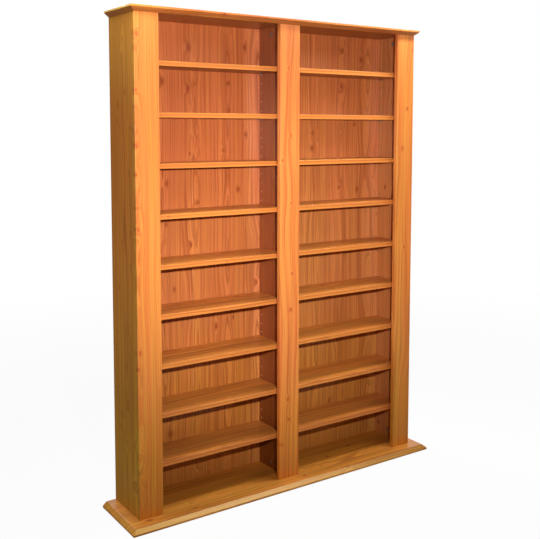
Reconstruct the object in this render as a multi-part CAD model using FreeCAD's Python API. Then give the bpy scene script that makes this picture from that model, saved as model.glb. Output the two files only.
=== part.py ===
import FreeCAD, Part
import math
import os

# Tall two-bay shelf for discs, cases and small books, made of foil-faced board.
# A wide base board carries two side panels and a centre divider. Three flat
# stiles cover their front edges, a bevelled top board closes them, and a folding
# hardboard back stands in grooves behind each bay. One shelf in each bay is
# fixed at mid height; eight more lie loose on metal pins in rows of holes.
# Millimetres, +X right, +Y to the rear, +Z up. The origin is on the floor, under
# the middle of the whole outline.

Vector = FreeCAD.Vector
overrun = 2.0
same_place = 0.01

# Carcass
carcass_width = 1144.0
carcass_depth = 187.0
panel_height = 1576.0
side_thickness = 16.0
divider_thickness = 16.0

# Stiles
stile_width = 82.0
stile_thickness = 15.0
stile_edge_round = 1.0

# Top board
top_thickness = 18.0
top_band_height = 6.0
top_overhang = 15.0

# Base board
base_thickness = 18.0
base_edge_height = 6.0
base_bevel_width = 13.0
base_side_ledge = 33.0
base_front_ledge = 44.0

# Folding hardboard backs
back_thickness = 3.0
back_inset = 6.0
groove_depth = 5.0
groove_play = 0.15
groove_end_play = 0.5
fold_skin = 0.5
fold_slot_width = 1.2
fold_crease_width = 1.0
fold_crease_depth = 0.15

# Shelves
shelf_thickness = 16.0
shelf_setback = 16.0
shelf_back_gap = 1.0
shelf_end_gap = 1.5
shelf_edge_round = 1.0
shelves_per_group = 4
steps_per_shelf = 5

# Shelf pins and their rows of holes
hole_pitch = 32.0
pin_hole_radius = 2.5
pin_hole_depth = 7.0
front_hole_inset = 37.0
rear_hole_inset = 15.0
pin_radius = 2.45
pin_buried = 6.5
pin_reach = 8.0
pin_collar_radius = 3.5
pin_collar_thickness = 1.0
pin_tip_bevel = 0.5
shelf_seat_gap = 0.3

# Cam locks
cam_radius = 7.5
cam_setback = 24.0
cam_play = 0.1
cam_floor_play = 0.5
cam_cavity_radius = 5.0
cam_slot_width = 5.2
cam_cross_reach = 3.2
cam_cross_width = 1.3
cam_cross_depth = 2.2

# Cam bolts
bolt_thread_radius = 2.5
bolt_thread_length = 10.5
bolt_thread_play = 0.03
bolt_shaft_radius = 3.0
bolt_channel_radius = 4.0
bolt_collar_radius = 3.7
bolt_collar_thickness = 1.5
bolt_neck_radius = 2.2
bolt_neck_length = 5.0
bolt_head_radius = 3.4
bolt_head_thickness = 2.5
bolt_head_play = 0.3

# Beech dowels
dowel_radius = 4.0
dowel_play = 0.05
dowel_long_end = 20.0
dowel_short_end = 10.0
dowel_end_play = 0.5
dowel_bevel = 0.8
end_dowel_spacing = 96.0
shelf_dowel_spacing = 80.0
stile_dowel_count = 5
stile_dowel_inset = 88.0

# Places that follow from the sizes above
half_width = carcass_width / 2
side_inner_x = half_width - side_thickness
divider_face_x = divider_thickness / 2
base_side_overhang = base_side_ledge + base_bevel_width
base_front_overhang = base_front_ledge + base_bevel_width
rear_y = (carcass_depth + base_front_overhang) / 2
stile_front_y = rear_y - carcass_depth
panel_front_y = stile_front_y + stile_thickness
panel_mid_y = (panel_front_y + rear_y) / 2
base_front_y = stile_front_y - base_front_overhang
top_front_y = stile_front_y - top_overhang
panel_bottom_z = base_thickness
panel_top_z = panel_bottom_z + panel_height
top_z = panel_top_z + top_thickness
back_rear_y = rear_y - back_inset
back_front_y = back_rear_y - back_thickness
shelf_front_y = panel_front_y + shelf_setback
shelf_rear_y = back_front_y - shelf_back_gap
shelf_mid_y = (shelf_front_y + shelf_rear_y) / 2
middle_shelf_z = (panel_bottom_z + panel_top_z) / 2
shelf_spacing = steps_per_shelf * hole_pitch
holes_per_group = (shelves_per_group - 1) * steps_per_shelf + 1
pin_drop = shelf_thickness / 2 + shelf_seat_gap + pin_radius
pin_columns_y = (panel_front_y + front_hole_inset, back_front_y - rear_hole_inset)
cam_head_back = math.sqrt(cam_cavity_radius ** 2 - bolt_head_radius ** 2) - bolt_head_play
bays = {
    "left": (-side_inner_x, -divider_face_x),
    "right": (divider_face_x, side_inner_x),
}


# Basic solids
def block(low, high):
    """A box between two opposite corners."""
    size = high - low
    return Part.makeBox(size.x, size.y, size.z, low)


def rod(radius, start, end):
    """A round bar from one point to another."""
    return Part.makeCylinder(radius, (end - start).Length, start, end - start)


def swept(outline, path):
    """A flat outline of points, pushed straight along a path."""
    return Part.Face(Part.makePolygon(outline + [outline[0]])).extrude(path)


def turned(profile, start, direction):
    """A lathe-turned solid: (distance along, radius) pairs swept round a line."""
    points = [Vector(radius, 0, along) for along, radius in profile]
    points = [Vector(0, 0, profile[0][0])] + points + [Vector(0, 0, profile[-1][0])]
    face = Part.Face(Part.makePolygon(points + [points[0]]))
    solid = face.revolve(Vector(0, 0, 0), Vector(0, 0, 1), 360)
    turn = FreeCAD.Rotation(Vector(0, 0, 1), direction)
    solid.Placement = FreeCAD.Placement(start, turn)
    return solid


def drilled(board, tools):
    """A board less all its cuts, as one clean solid."""
    return board.cut(tools).removeSplitter() if tools else board


def near(one, other):
    """True where two coordinates are the same place."""
    return abs(one - other) < same_place


def front_rounded(board, radius, front_y, direction):
    """A board with a small round on the front edges that run along a direction."""
    edges = []
    for edge in board.Edges:
        start, end = [vertex.Point for vertex in edge.Vertexes]
        along = (end - start).cross(direction).Length < same_place
        if along and near(start.y, front_y) and near(end.y, front_y):
            edges.append(edge)
    return board.makeFillet(radius, edges)


def save(node, solids):
    """Write one solid, or a group of separate ones, as the node's file."""
    shape = solids[0] if len(solids) == 1 else Part.makeCompound(solids)
    shape.exportStep("parts/" + node + ".step")
    print(node, len(shape.Solids), "solids", round(shape.Volume), "mm3", shape.isValid())


# Shelf heights and rows of holes
def shelf_heights():
    """Mid-thickness height of each loose shelf, counted from the top down."""
    counts = list(range(shelves_per_group, 0, -1))
    above = [middle_shelf_z + count * shelf_spacing for count in counts]
    below = [middle_shelf_z - count * shelf_spacing for count in reversed(counts)]
    return above, below


def pin_heights():
    """Height of the pin centres under each loose shelf."""
    above, below = shelf_heights()
    return [height - pin_drop for height in above + below]


def hole_heights():
    """Height of each hole in a row: one group over the fixed shelf and one under it."""
    above, below = shelf_heights()
    heights = []
    for top_shelf in (above[0], below[0]):
        first = top_shelf - pin_drop
        heights += [first - count * hole_pitch for count in range(holes_per_group)]
    return heights


# Fittings that one board shares with the next
def dowel_holes(mouth, direction, depth):
    """A dowel's hole, from its mouth into the board."""
    return [rod(dowel_radius + dowel_play, mouth, mouth + direction * (depth + dowel_end_play))]


def dowel(joint, direction, short_end, long_end):
    """A dowel across a joint, its long end in the way of the direction."""
    profile = [
        (-short_end, dowel_radius - dowel_bevel),
        (dowel_bevel - short_end, dowel_radius),
        (long_end - dowel_bevel, dowel_radius),
        (long_end, dowel_radius - dowel_bevel),
    ]
    return turned(profile, joint, direction)


def cam_height(board_thickness):
    """How far a lock reaches into a board whose bolt runs at mid thickness."""
    return board_thickness / 2 + bolt_head_radius + cam_floor_play


def cam_holes(joint, along, inward, board_thickness):
    """The lock's round housing and the bolt's channel from the board's end."""
    centre = joint + along * cam_setback
    mouth = centre - inward * (board_thickness / 2)
    depth = cam_height(board_thickness) + cam_floor_play
    housing = rod(cam_radius + cam_play, mouth, mouth + inward * depth)
    channel = rod(bolt_channel_radius, joint, centre)
    return [housing, channel]


def cam_lock(joint, along, inward, board_thickness):
    """A round lock, flush with the board, its slot open towards the joint."""
    height = cam_height(board_thickness)
    plate = board_thickness / 2 - bolt_head_radius - cam_floor_play
    body = Part.makeCylinder(cam_radius, height)
    cavity = rod(cam_cavity_radius, Vector(0, 0, plate), Vector(0, 0, height + overrun))
    half_slot = cam_slot_width / 2
    slot = block(Vector(0, -half_slot, plate), Vector(cam_radius + overrun, half_slot, height + overrun))
    reach, half_arm = (cam_cross_reach, cam_cross_width / 2)
    arms = [
        block(Vector(-reach, -half_arm, -overrun), Vector(reach, half_arm, cam_cross_depth)),
        block(Vector(-half_arm, -reach, -overrun), Vector(half_arm, reach, cam_cross_depth)),
    ]
    lock = body.cut([cavity, slot] + arms).removeSplitter()
    turn = FreeCAD.Rotation(along * -1, inward.cross(along * -1), inward, "ZXY")
    mouth = joint + along * cam_setback - inward * (board_thickness / 2)
    lock.Placement = FreeCAD.Placement(mouth, turn)
    return lock


def bolt_head_profile(start):
    """The plain shaft, neck and head of a bolt, from a place along it to its tip."""
    head_start = start + cam_setback - cam_head_back
    return [
        (head_start - bolt_neck_length, bolt_shaft_radius),
        (head_start - bolt_neck_length, bolt_neck_radius),
        (head_start, bolt_neck_radius),
        (head_start, bolt_head_radius),
        (head_start + bolt_head_thickness, bolt_head_radius),
    ]


def cam_bolt(joint, along):
    """A bolt screwed into one board, its head standing in the other board's lock."""
    profile = [
        (-bolt_thread_length, bolt_thread_radius - bolt_thread_play),
        (0, bolt_thread_radius - bolt_thread_play),
        (0, bolt_collar_radius),
        (bolt_collar_thickness, bolt_collar_radius),
        (bolt_collar_thickness, bolt_shaft_radius),
    ]
    return turned(profile + bolt_head_profile(0), joint, along)


def through_bolt():
    """The two-headed bolt that ties both fixed shelves through the divider."""
    right_half = bolt_head_profile(divider_face_x)
    left_half = [(-along, radius) for along, radius in reversed(right_half)]
    return turned(left_half + right_half, Vector(0, shelf_mid_y, middle_shelf_z), Vector(1, 0, 0))


def bolt_hole(joint, along):
    """The hole that a bolt is screwed into, on the far side of the joint."""
    return [rod(bolt_thread_radius, joint, joint - along * (bolt_thread_length + dowel_end_play))]


# Places where boards meet
def panel_ends():
    """Each end of each upright: name, mid-thickness joint point, way in, lock side, thickness."""
    uprights = [
        ("left", Vector(-1, 0, 0), side_thickness),
        ("divider", Vector(1, 0, 0), divider_thickness),
        ("right", Vector(1, 0, 0), side_thickness),
    ]
    ends = []
    for name, inward, thickness in uprights:
        x = upright_x(name)
        ends.append((name, Vector(x, panel_mid_y, panel_bottom_z), Vector(0, 0, 1), inward, thickness))
        ends.append((name, Vector(x, panel_mid_y, panel_top_z), Vector(0, 0, -1), inward, thickness))
    return ends


def end_dowel_points(joint):
    """The two dowels beside a bolt at the end of an upright."""
    offset = Vector(0, end_dowel_spacing / 2, 0)
    return [joint - offset, joint + offset]


def stile_dowel_points(x):
    """The dowels that hold a stile to the front edge of the upright at x."""
    span = panel_height - 2 * stile_dowel_inset
    step = span / (stile_dowel_count - 1)
    start = panel_bottom_z + stile_dowel_inset
    return [Vector(x, panel_front_y, start + count * step) for count in range(stile_dowel_count)]


def shelf_joints():
    """Where the fixed shelves meet the uprights: side, joint point, way into the shelf."""
    joints = []
    for side, (left_x, right_x) in bays.items():
        joints.append((side, Vector(left_x, shelf_mid_y, middle_shelf_z), Vector(1, 0, 0)))
        joints.append((side, Vector(right_x, shelf_mid_y, middle_shelf_z), Vector(-1, 0, 0)))
    return joints


def shelf_dowel_points(joint):
    """The two dowels beside the bolt at the end of a fixed shelf."""
    offset = Vector(0, shelf_dowel_spacing / 2, 0)
    return [joint - offset, joint + offset]


def upright_x(name):
    """Mid-thickness place of an upright."""
    side_mid = half_width - side_thickness / 2
    return {"left": -side_mid, "divider": 0, "right": side_mid}[name]


def pin_places(face_x, heights):
    """Both columns of a bay wall, at the given heights."""
    return [Vector(face_x, y, z) for z in heights for y in pin_columns_y]


def back_groove(low_x, high_x, low_z, high_z):
    """The cut that takes the edge of a back, between the given limits."""
    low = Vector(low_x, back_front_y - groove_play, low_z)
    high = Vector(high_x, back_rear_y + groove_play, high_z)
    return block(low, high)


# Uprights
def upright(name, low_x, high_x, walls):
    """A side panel or the divider; walls are its (face, way into the board) pairs."""
    board = block(Vector(low_x, panel_front_y, panel_bottom_z), Vector(high_x, rear_y, panel_top_z))
    tools = []
    for face_x, into in walls:
        for place in pin_places(face_x, hole_heights()):
            tools.append(rod(pin_hole_radius, place, place + Vector(into * pin_hole_depth, 0, 0)))
        low, high = sorted((face_x - into * overrun, face_x + into * groove_depth))
        tools.append(back_groove(low, high, panel_bottom_z - overrun, panel_top_z + overrun))
    for end_name, joint, along, inward, thickness in panel_ends():
        if end_name == name:
            tools += cam_holes(joint, along, inward, thickness)
            for point in end_dowel_points(joint):
                tools += dowel_holes(point, along, dowel_long_end)
    for point in stile_dowel_points(upright_x(name)):
        tools += dowel_holes(point, Vector(0, 1, 0), dowel_long_end)
    for side, joint, along in shelf_joints():
        if side == name and near(abs(joint.x), side_inner_x):
            tools += bolt_hole(joint, along)
            for point in shelf_dowel_points(joint):
                tools += dowel_holes(point, along * -1, dowel_short_end)
    if name == "divider":
        centre = Vector(0, shelf_mid_y, middle_shelf_z)
        half_way = Vector(divider_face_x + overrun, 0, 0)
        tools.append(rod(bolt_channel_radius, centre - half_way, centre + half_way))
        for point in shelf_dowel_points(centre):
            tools.append(rod(dowel_radius + dowel_play, point - half_way, point + half_way))
    return drilled(board, tools)


# Stiles
def stile(name, low_x):
    """A flat front board, its long front edges slightly rounded."""
    low = Vector(low_x, stile_front_y, panel_bottom_z)
    board = block(low, Vector(low_x + stile_width, panel_front_y, panel_top_z))
    board = front_rounded(board, stile_edge_round, stile_front_y, Vector(0, 0, 1))
    tools = []
    for point in stile_dowel_points(upright_x(name)):
        tools += dowel_holes(point, Vector(0, -1, 0), dowel_short_end)
    return drilled(board, tools)


# Top and base boards
def bevelled_board(half_long, front_y, low_z, high_z, turn_z, tip_z, inset):
    """A board whose front and ends lean in by the inset from one height to another."""
    board = block(Vector(-half_long, front_y, low_z), Vector(half_long, rear_y, high_z))
    rise = tip_z - turn_z
    longer = 1 + overrun / abs(rise)
    past_inset = inset * longer
    past_z = turn_z + rise * longer
    wedge = [(-overrun, turn_z), (0, turn_z), (past_inset, past_z), (-overrun, past_z)]
    left_x = -half_long - overrun
    front = [Vector(left_x, front_y + inward, z) for inward, z in wedge]
    tools = [swept(front, Vector(-2 * left_x, 0, 0))]
    for side in (-1, 1):
        end = [Vector(side * (half_long - inward), front_y - overrun, z) for inward, z in wedge]
        tools.append(swept(end, Vector(0, rear_y - front_y + 2 * overrun, 0)))
    return drilled(board, tools)


def board_joint_tools(at_top):
    """Bolt holes, dowel holes and back grooves in the base board or the top board."""
    tools = []
    for name, joint, along, inward, thickness in panel_ends():
        if near(joint.z, panel_top_z) == at_top:
            tools += bolt_hole(joint, along)
            for point in end_dowel_points(joint):
                tools += dowel_holes(point, along * -1, dowel_short_end)
    if at_top:
        low_z, high_z = (panel_top_z - overrun, panel_top_z + groove_depth)
    else:
        low_z, high_z = (panel_bottom_z - groove_depth, panel_bottom_z + overrun)
    reach = side_inner_x + groove_depth
    tools.append(back_groove(-reach, reach, low_z, high_z))
    return tools


def top_board():
    """The top: square band above, bevel below that starts flush with the uprights."""
    half_long = half_width + top_overhang
    band_z = top_z - top_band_height
    board = bevelled_board(half_long, top_front_y, panel_top_z, top_z, band_z, panel_top_z, top_overhang)
    return drilled(board, board_joint_tools(True))


def base_board():
    """The base: square edge on the floor, bevel above it, then the flat ledge."""
    half_long = half_width + base_side_overhang
    board = bevelled_board(
        half_long, base_front_y, 0, base_thickness, base_edge_height, base_thickness, base_bevel_width
    )
    return drilled(board, board_joint_tools(False))


# Backs
def back(side):
    """A hardboard back with a fold down its middle: slot behind, faint crease in front."""
    left_x, right_x = bays[side]
    engaged = groove_depth - groove_end_play
    low = Vector(left_x - engaged, back_front_y, panel_bottom_z - engaged)
    high = Vector(right_x + engaged, back_rear_y, panel_top_z + engaged)
    fold_x = (left_x + right_x) / 2
    half_slot = fold_slot_width / 2
    half_crease = fold_crease_width / 2
    slot = block(
        Vector(fold_x - half_slot, back_front_y + fold_crease_depth + fold_skin, low.z - overrun),
        Vector(fold_x + half_slot, back_rear_y + overrun, high.z + overrun),
    )
    crease = block(
        Vector(fold_x - half_crease, back_front_y - overrun, low.z - overrun),
        Vector(fold_x + half_crease, back_front_y + fold_crease_depth, high.z + overrun),
    )
    return drilled(block(low, high), [slot, crease])


# Shelves
def shelf_board(left_x, right_x, mid_z):
    """A shelf blank between two ends, its front edge slightly rounded."""
    low = Vector(left_x, shelf_front_y, mid_z - shelf_thickness / 2)
    board = block(low, Vector(right_x, shelf_rear_y, mid_z + shelf_thickness / 2))
    return front_rounded(board, shelf_edge_round, shelf_front_y, Vector(1, 0, 0))


def loose_shelf(side, mid_z):
    """A shelf that lies on its pins, a little shorter than its bay."""
    left_x, right_x = bays[side]
    return shelf_board(left_x + shelf_end_gap, right_x - shelf_end_gap, mid_z)


def fixed_shelf(side):
    """The middle shelf, tight between its uprights, with locks in its underside."""
    left_x, right_x = bays[side]
    tools = []
    for joint_side, joint, along in shelf_joints():
        if joint_side == side:
            tools += cam_holes(joint, along, Vector(0, 0, 1), shelf_thickness)
            for point in shelf_dowel_points(joint):
                tools += dowel_holes(point, along, dowel_long_end)
    return drilled(shelf_board(left_x, right_x, middle_shelf_z), tools)


def shelf_pins(side):
    """Four pins under each loose shelf of a bay, pushed into the uprights."""
    profile = [
        (-pin_buried, pin_radius),
        (0, pin_radius),
        (0, pin_collar_radius),
        (pin_collar_thickness, pin_collar_radius),
        (pin_collar_thickness, pin_radius),
        (pin_reach - pin_tip_bevel, pin_radius),
        (pin_reach, pin_radius - pin_tip_bevel),
    ]
    left_x, right_x = bays[side]
    pins = []
    for face_x, direction in ((left_x, Vector(1, 0, 0)), (right_x, Vector(-1, 0, 0))):
        for place in pin_places(face_x, pin_heights()):
            pins.append(turned(profile, place, direction))
    return pins


# Fasteners
def cam_locks():
    """One lock at each end of each upright and of each fixed shelf."""
    locks = []
    for name, joint, along, inward, thickness in panel_ends():
        locks.append(cam_lock(joint, along, inward, thickness))
    for side, joint, along in shelf_joints():
        locks.append(cam_lock(joint, along, Vector(0, 0, 1), shelf_thickness))
    return locks


def cam_bolts():
    """The single bolts: into the base, the top and the two side panels."""
    bolts = [cam_bolt(joint, along) for name, joint, along, inward, thickness in panel_ends()]
    for side, joint, along in shelf_joints():
        if near(abs(joint.x), side_inner_x):
            bolts.append(cam_bolt(joint, along))
    return bolts


def carcass_dowels():
    """Short dowels: uprights to base and top, and side panels to fixed shelves."""
    dowels = []
    for name, joint, along, inward, thickness in panel_ends():
        for point in end_dowel_points(joint):
            dowels.append(dowel(point, along, dowel_short_end, dowel_long_end))
    for side, joint, along in shelf_joints():
        if near(abs(joint.x), side_inner_x):
            for point in shelf_dowel_points(joint):
                dowels.append(dowel(point, along, dowel_short_end, dowel_long_end))
    return dowels


def divider_dowels():
    """Long dowels that run through the divider into both fixed shelves."""
    reach = divider_face_x + dowel_long_end
    centre = Vector(0, shelf_mid_y, middle_shelf_z)
    return [dowel(point, Vector(1, 0, 0), reach, reach) for point in shelf_dowel_points(centre)]


def stile_dowels():
    """Dowels from the front edge of each upright into its stile."""
    dowels = []
    for name in ("left", "divider", "right"):
        for point in stile_dowel_points(upright_x(name)):
            dowels.append(dowel(point, Vector(0, 1, 0), dowel_short_end, dowel_long_end))
    return dowels


os.makedirs("parts", exist_ok=True)
save("base_board", [base_board()])
save("top_board", [top_board()])
save("left_side_panel", [upright("left", -half_width, -side_inner_x, [(-side_inner_x, -1)])])
save("right_side_panel", [upright("right", side_inner_x, half_width, [(side_inner_x, 1)])])
divider_walls = [(-divider_face_x, 1), (divider_face_x, -1)]
save("centre_divider", [upright("divider", -divider_face_x, divider_face_x, divider_walls)])
save("left_stile", [stile("left", -half_width)])
save("centre_stile", [stile("divider", -stile_width / 2)])
save("right_stile", [stile("right", half_width - stile_width)])
for side in bays:
    save(side + "_back", [back(side)])
    save(side + "_fixed_shelf", [fixed_shelf(side)])
    for group, heights in zip(("upper", "lower"), shelf_heights()):
        for count, height in enumerate(heights, start=1):
            save(side + "_" + group + "_shelf_" + str(count), [loose_shelf(side, height)])
    save(side + "_bay_shelf_pins", shelf_pins(side))
save("cam_locks", cam_locks())
save("cam_bolts", cam_bolts())
save("through_bolt", [through_bolt()])
save("carcass_dowels", carcass_dowels())
save("divider_dowels", divider_dowels())
save("stile_dowels", stile_dowels())
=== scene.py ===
"""Tall two-bay media shelf, dressed for its picture. Metres, +X right, +Y to the rear, +Z up, with
the origin on the floor under the middle of the outline. Sections follow the shelf as it is put
together: base, uprights, dowels and bolts, stiles, top, backs, shelves, pins and locks, and then
the floor, the lamps and the camera."""

import bpy
import math
import numpy as np
from mathutils import Matrix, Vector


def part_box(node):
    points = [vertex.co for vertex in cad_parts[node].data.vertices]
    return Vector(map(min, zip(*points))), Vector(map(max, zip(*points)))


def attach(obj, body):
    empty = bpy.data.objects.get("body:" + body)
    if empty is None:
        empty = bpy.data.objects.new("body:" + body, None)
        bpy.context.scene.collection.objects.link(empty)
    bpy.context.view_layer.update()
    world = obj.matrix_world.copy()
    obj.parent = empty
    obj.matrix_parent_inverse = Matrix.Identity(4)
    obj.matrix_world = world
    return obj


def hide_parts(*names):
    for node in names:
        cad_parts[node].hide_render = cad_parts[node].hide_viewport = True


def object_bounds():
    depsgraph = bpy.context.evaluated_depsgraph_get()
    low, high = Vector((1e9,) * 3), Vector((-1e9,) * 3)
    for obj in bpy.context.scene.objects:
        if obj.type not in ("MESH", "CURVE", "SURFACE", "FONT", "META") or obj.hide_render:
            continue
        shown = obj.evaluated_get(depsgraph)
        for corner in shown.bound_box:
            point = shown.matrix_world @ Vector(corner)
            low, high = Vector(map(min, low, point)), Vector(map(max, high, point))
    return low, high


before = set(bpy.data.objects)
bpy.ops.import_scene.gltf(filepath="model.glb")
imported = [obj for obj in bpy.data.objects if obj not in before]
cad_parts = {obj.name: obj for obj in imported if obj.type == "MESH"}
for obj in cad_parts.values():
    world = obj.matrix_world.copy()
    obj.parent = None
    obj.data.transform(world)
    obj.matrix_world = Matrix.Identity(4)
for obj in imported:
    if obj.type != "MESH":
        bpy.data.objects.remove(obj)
cad_low, cad_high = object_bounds()

# ---- Base board ---------------------------------------------------------------------------
# The base is particle board, 18 mm thick, wrapped in foil with a knotty pine print. A wide bevel
# runs round its front and ends, and its rear edge is cut square and left bare.


class Tint:
    """A socket on its way through a material. Sums and products of it add Math nodes, and node()
    adds a node of any other kind."""

    def __init__(self, socket):
        self.socket = socket

    def node(self, kind, settings=None, values=None, out=0):
        """Adds a node, sets it up, and fills its sockets with values or links."""
        tree = self.socket.id_data
        made = tree.nodes.new("ShaderNode" + kind)
        for name, value in (settings or {}).items():
            setattr(made, name, value)
        for place, value in (values or {}).items():
            if isinstance(value, Tint):
                tree.links.new(value.socket, made.inputs[place])
            else:
                made.inputs[place].default_value = value
        return Tint(made.outputs[out])

    def maths(self, operation, *values):
        return self.node("Math", {"operation": operation}, dict(enumerate(values)))

    def __abs__(self):
        return self.maths("ABSOLUTE", self)

    def __add__(self, other):
        return self.maths("ADD", self, other)

    def __sub__(self, other):
        return self.maths("SUBTRACT", self, other)

    def __mul__(self, other):
        return self.maths("MULTIPLY", self, other)

    def __truediv__(self, other):
        return self.maths("DIVIDE", self, other)

    def __pow__(self, other):
        return self.maths("POWER", self, other)

    def __mod__(self, other):
        return self.maths("MODULO", self, other)

    def __rsub__(self, other):
        return self.maths("SUBTRACT", other, self)

    def __gt__(self, other):
        return self.maths("GREATER_THAN", self, other)

    def __lt__(self, other):
        return self.maths("LESS_THAN", self, other)

    __radd__ = __add__
    __rmul__ = __mul__


def least(one, other):
    return one.maths("MINIMUM", one, other)


def most(one, other):
    return one.maths("MAXIMUM", one, other)


def sine(value):
    return value.maths("SINE", value)


def split(point):
    """The x, y and z of a point, one after the other."""
    return [point.node("SeparateXYZ", {}, {0: point}, out=axis) for axis in range(3)]


def reach(point, way):
    """How far a point lies along a direction."""
    return point.node("VectorMath", {"operation": "DOT_PRODUCT"}, {0: point, 1: way}, out=1)


def distance_of(point):
    """How far a point lies from the origin."""
    return point.node("VectorMath", {"operation": "LENGTH"}, {0: point}, out=1)


def fade(value, none_at, full_at):
    """Goes smoothly from 0 to 1 as the value goes from one level to the other."""
    smooth = {"interpolation_type": "SMOOTHSTEP"}
    return value.node("MapRange", smooth, {0: value, 1: none_at, 2: full_at})


def stained(under, over, share):
    """One colour laid over another by a share from 0 to 1."""
    return share.node("Mix", {"data_type": "RGBA"}, {0: share, 6: under, 7: over}, out=2)


def shaded(colour, level):
    """A colour made lighter or darker by a factor."""
    return level.node("VectorMath", {"operation": "SCALE"}, {0: colour, 3: level})


def cast(colour, by):
    """A colour with each of its parts multiplied by a factor of its own."""
    return colour.node("VectorMath", {"operation": "MULTIPLY"}, {0: colour, 1: by})


def stretched(point, scale, shift):
    """A point of the board, scaled along each axis and shifted."""
    return point.node("VectorMath", {"operation": "MULTIPLY_ADD"}, {0: point, 1: scale, 2: shift})


def clouds(point, scale, shift, detail=2.0, rough=0.5):
    """Soft noise from about 0.25 to 0.75, at its own scale along each axis of the point."""
    spot = stretched(point, scale, shift)
    values = {"Vector": spot, "Scale": 1.0, "Detail": detail, "Roughness": rough}
    return point.node("TexNoise", {}, values)


def finish(name, build):
    """A material whose builder gets the Object coordinates and returns what feeds the shader."""
    material = bpy.data.materials.new(name)
    material.use_nodes = True
    tree = material.node_tree
    shader = tree.nodes["Principled BSDF"]
    place = Tint(tree.nodes.new("ShaderNodeTexCoord").outputs["Object"])
    parts = build(place)
    height, depth = parts.pop("relief")
    for socket, value in parts.items():
        if isinstance(value, Tint):
            tree.links.new(value.socket, shader.inputs[socket])
        else:
            shader.inputs[socket].default_value = value
    bump = place.node("Bump", {}, {"Height": height, "Strength": 1.0, "Distance": depth})
    tree.links.new(bump.socket, shader.inputs["Normal"])
    return material


chip_pale = (0.76, 0.56, 0.33, 1)
chip_dark = (0.42, 0.25, 0.12, 1)
chips_per_metre = 420


def bare_chipboard(place):
    """Cut particle board: pale flakes of many sizes with darker glue between them."""
    cells = lambda scale: place.node("TexVoronoi", {"feature": "F1"}, {"Vector": place, "Scale": scale})
    flakes, edges = cells(chips_per_metre), cells(chips_per_metre * 2.3)
    mottle = clouds(place, (900, 900, 900), (4, 0, 0), 3)
    share = fade(flakes * 0.6 + edges * 0.3 + mottle * 0.5, 0.35, 0.85)
    return stained(chip_pale, chip_dark, share), share


knot_core = (0.36, 0.075, 0.016, 1)
knot_rim = (0.20, 0.035, 0.010, 1)
knot_stretch = 1.5
knot_reach = 4.5


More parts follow.
